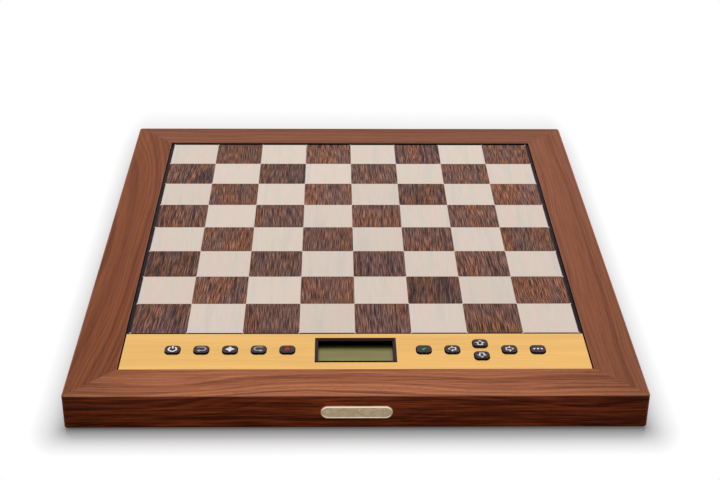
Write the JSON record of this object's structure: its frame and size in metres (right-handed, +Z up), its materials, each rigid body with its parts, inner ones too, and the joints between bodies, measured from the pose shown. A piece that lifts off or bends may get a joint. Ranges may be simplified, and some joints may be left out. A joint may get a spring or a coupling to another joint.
{
  "type": "electronic chess board",
  "caption": "Wooden tabletop chess computer: lit sensor board of inlaid squares in a walnut frame, with a brass key panel and a small display.",
  "frame": {"origin": "on the table, under the middle of the case's plan", "axes": "+X to the player's right, +Y away from the player at the key panel, +Z up"},
  "size_m": [0.391, 0.436, 0.028],
  "materials": {
    "walnut": "satin oiled walnut, grain along each rail",
    "maple_veneer": "satin bleached maple veneer",
    "rosewood_veneer": "satin streaked rosewood veneer",
    "black_strip": "satin black dyed veneer strip",
    "beech": "sawn beech",
    "birch_core": "plywood, sanded",
    "fibreboard": "dark hardboard, smooth face",
    "brushed_brass": "brushed from left to right, lacquered",
    "pewter": "cast, antique champagne finish",
    "steel": "zinc plated",
    "black_abs": "moulded, fine texture",
    "key_rubber": "dark grey silicone rubber",
    "foot_rubber": "matte",
    "silicone": "translucent grey",
    "display_glass": "olive green liquid crystal glass",
    "light_guide": "white diffuser",
    "light_pipe": "frosted clear acrylic",
    "circuit_board": "green solder mask",
    "chip_epoxy": "moulded epoxy",
    "led_lens": "clear epoxy over phosphor",
    "plug_nylon": "moulded nylon",
    "cable_sheath": "soft sheath",
    "capacitor_sleeve": "shrink sleeve"
  },
  "bodies": {
    "case": {"front_rail": "walnut", "back_rail": "walnut", "left_rail": "walnut", "right_rail": "walnut", "corner_splines": "beech", "corner_blocks": "beech", "ledge_strips": "beech", "cross_batten": "beech", "base_panel": "fibreboard", "board_supports": "beech", "rubber_feet": "foot_rubber", "base_screws": "steel", "light_squares": "maple_veneer", "dark_squares": "rosewood_veneer", "border_strip": "black_strip", "core_panel": "birch_core", "light_pipes": "light_pipe", "sensor_board": "circuit_board", "position_leds": "led_lens", "piece_sensors": "chip_epoxy", "board_screws": "steel", "sensor_plug": "plug_nylon", "sensor_ribbon": "cable_sheath", "brass_plate": "brushed_brass", "key_carrier": "black_abs", "display_bezel": "black_abs", "display_glass": "display_glass", "display_backlight": "light_guide", "display_connectors": "silicone", "key_membrane": "silicone", "contact_pads": "chip_epoxy", "control_board": "circuit_board", "carrier_screws": "steel", "processor": "chip_epoxy", "memory_chip": "chip_epoxy", "crystal": "steel", "capacitors": "capacitor_sleeve", "control_plug": "plug_nylon", "buzzer": "black_abs", "power_board": "circuit_board", "power_board_screws": "steel", "inlet_housing": "black_abs", "inlet_pin": "steel", "power_plugs": "plug_nylon", "power_cable": "cable_sheath", "cable_clips": "plug_nylon", "badge": "pewter", "badge_pins": "pewter"},
    "power_key": {"power_key": "key_rubber"},
    "flip_board_key": {"flip_board_key": "key_rubber"},
    "menu_key": {"menu_key": "key_rubber"},
    "take_back_key": {"take_back_key": "key_rubber"},
    "cancel_key": {"cancel_key": "key_rubber"},
    "confirm_key": {"confirm_key": "key_rubber"},
    "left_key": {"left_key": "key_rubber"},
    "up_key": {"up_key": "key_rubber"},
    "down_key": {"down_key": "key_rubber"},
    "right_key": {"right_key": "key_rubber"},
    "new_game_key": {"new_game_key": "key_rubber"}
  },
  "joints": [
    {"name": "power_press", "type": "slide", "parent": "case", "child": "power_key", "axis": [0, 0, -1], "range_m": [0, 0.0008], "stiffness_N_per_m": 1200, "springref_m": -0.0003, "deforming": ["key_membrane"]},
    {"name": "flip_board_press", "type": "slide", "parent": "case", "child": "flip_board_key", "axis": [0, 0, -1], "range_m": [0, 0.0008], "stiffness_N_per_m": 1200, "springref_m": -0.0003, "deforming": ["key_membrane"]},
    {"name": "menu_press", "type": "slide", "parent": "case", "child": "menu_key", "axis": [0, 0, -1], "range_m": [0, 0.0008], "stiffness_N_per_m": 1200, "springref_m": -0.0003, "deforming": ["key_membrane"]},
    {"name": "take_back_press", "type": "slide", "parent": "case", "child": "take_back_key", "axis": [0, 0, -1], "range_m": [0, 0.0008], "stiffness_N_per_m": 1200, "springref_m": -0.0003, "deforming": ["key_membrane"]},
    {"name": "cancel_press", "type": "slide", "parent": "case", "child": "cancel_key", "axis": [0, 0, -1], "range_m": [0, 0.0008], "stiffness_N_per_m": 1200, "springref_m": -0.0003, "deforming": ["key_membrane"]},
    {"name": "confirm_press", "type": "slide", "parent": "case", "child": "confirm_key", "axis": [0, 0, -1], "range_m": [0, 0.0008], "stiffness_N_per_m": 1200, "springref_m": -0.0003, "deforming": ["key_membrane"]},
    {"name": "left_press", "type": "slide", "parent": "case", "child": "left_key", "axis": [0, 0, -1], "range_m": [0, 0.0008], "stiffness_N_per_m": 1200, "springref_m": -0.0003, "deforming": ["key_membrane"]},
    {"name": "up_press", "type": "slide", "parent": "case", "child": "up_key", "axis": [0, 0, -1], "range_m": [0, 0.0008], "stiffness_N_per_m": 1200, "springref_m": -0.0003, "deforming": ["key_membrane"]},
    {"name": "down_press", "type": "slide", "parent": "case", "child": "down_key", "axis": [0, 0, -1], "range_m": [0, 0.0008], "stiffness_N_per_m": 1200, "springref_m": -0.0003, "deforming": ["key_membrane"]},
    {"name": "right_press", "type": "slide", "parent": "case", "child": "right_key", "axis": [0, 0, -1], "range_m": [0, 0.0008], "stiffness_N_per_m": 1200, "springref_m": -0.0003, "deforming": ["key_membrane"]},
    {"name": "new_game_press", "type": "slide", "parent": "case", "child": "new_game_key", "axis": [0, 0, -1], "range_m": [0, 0.0008], "stiffness_N_per_m": 1200, "springref_m": -0.0003, "deforming": ["key_membrane"]}
  ]
}
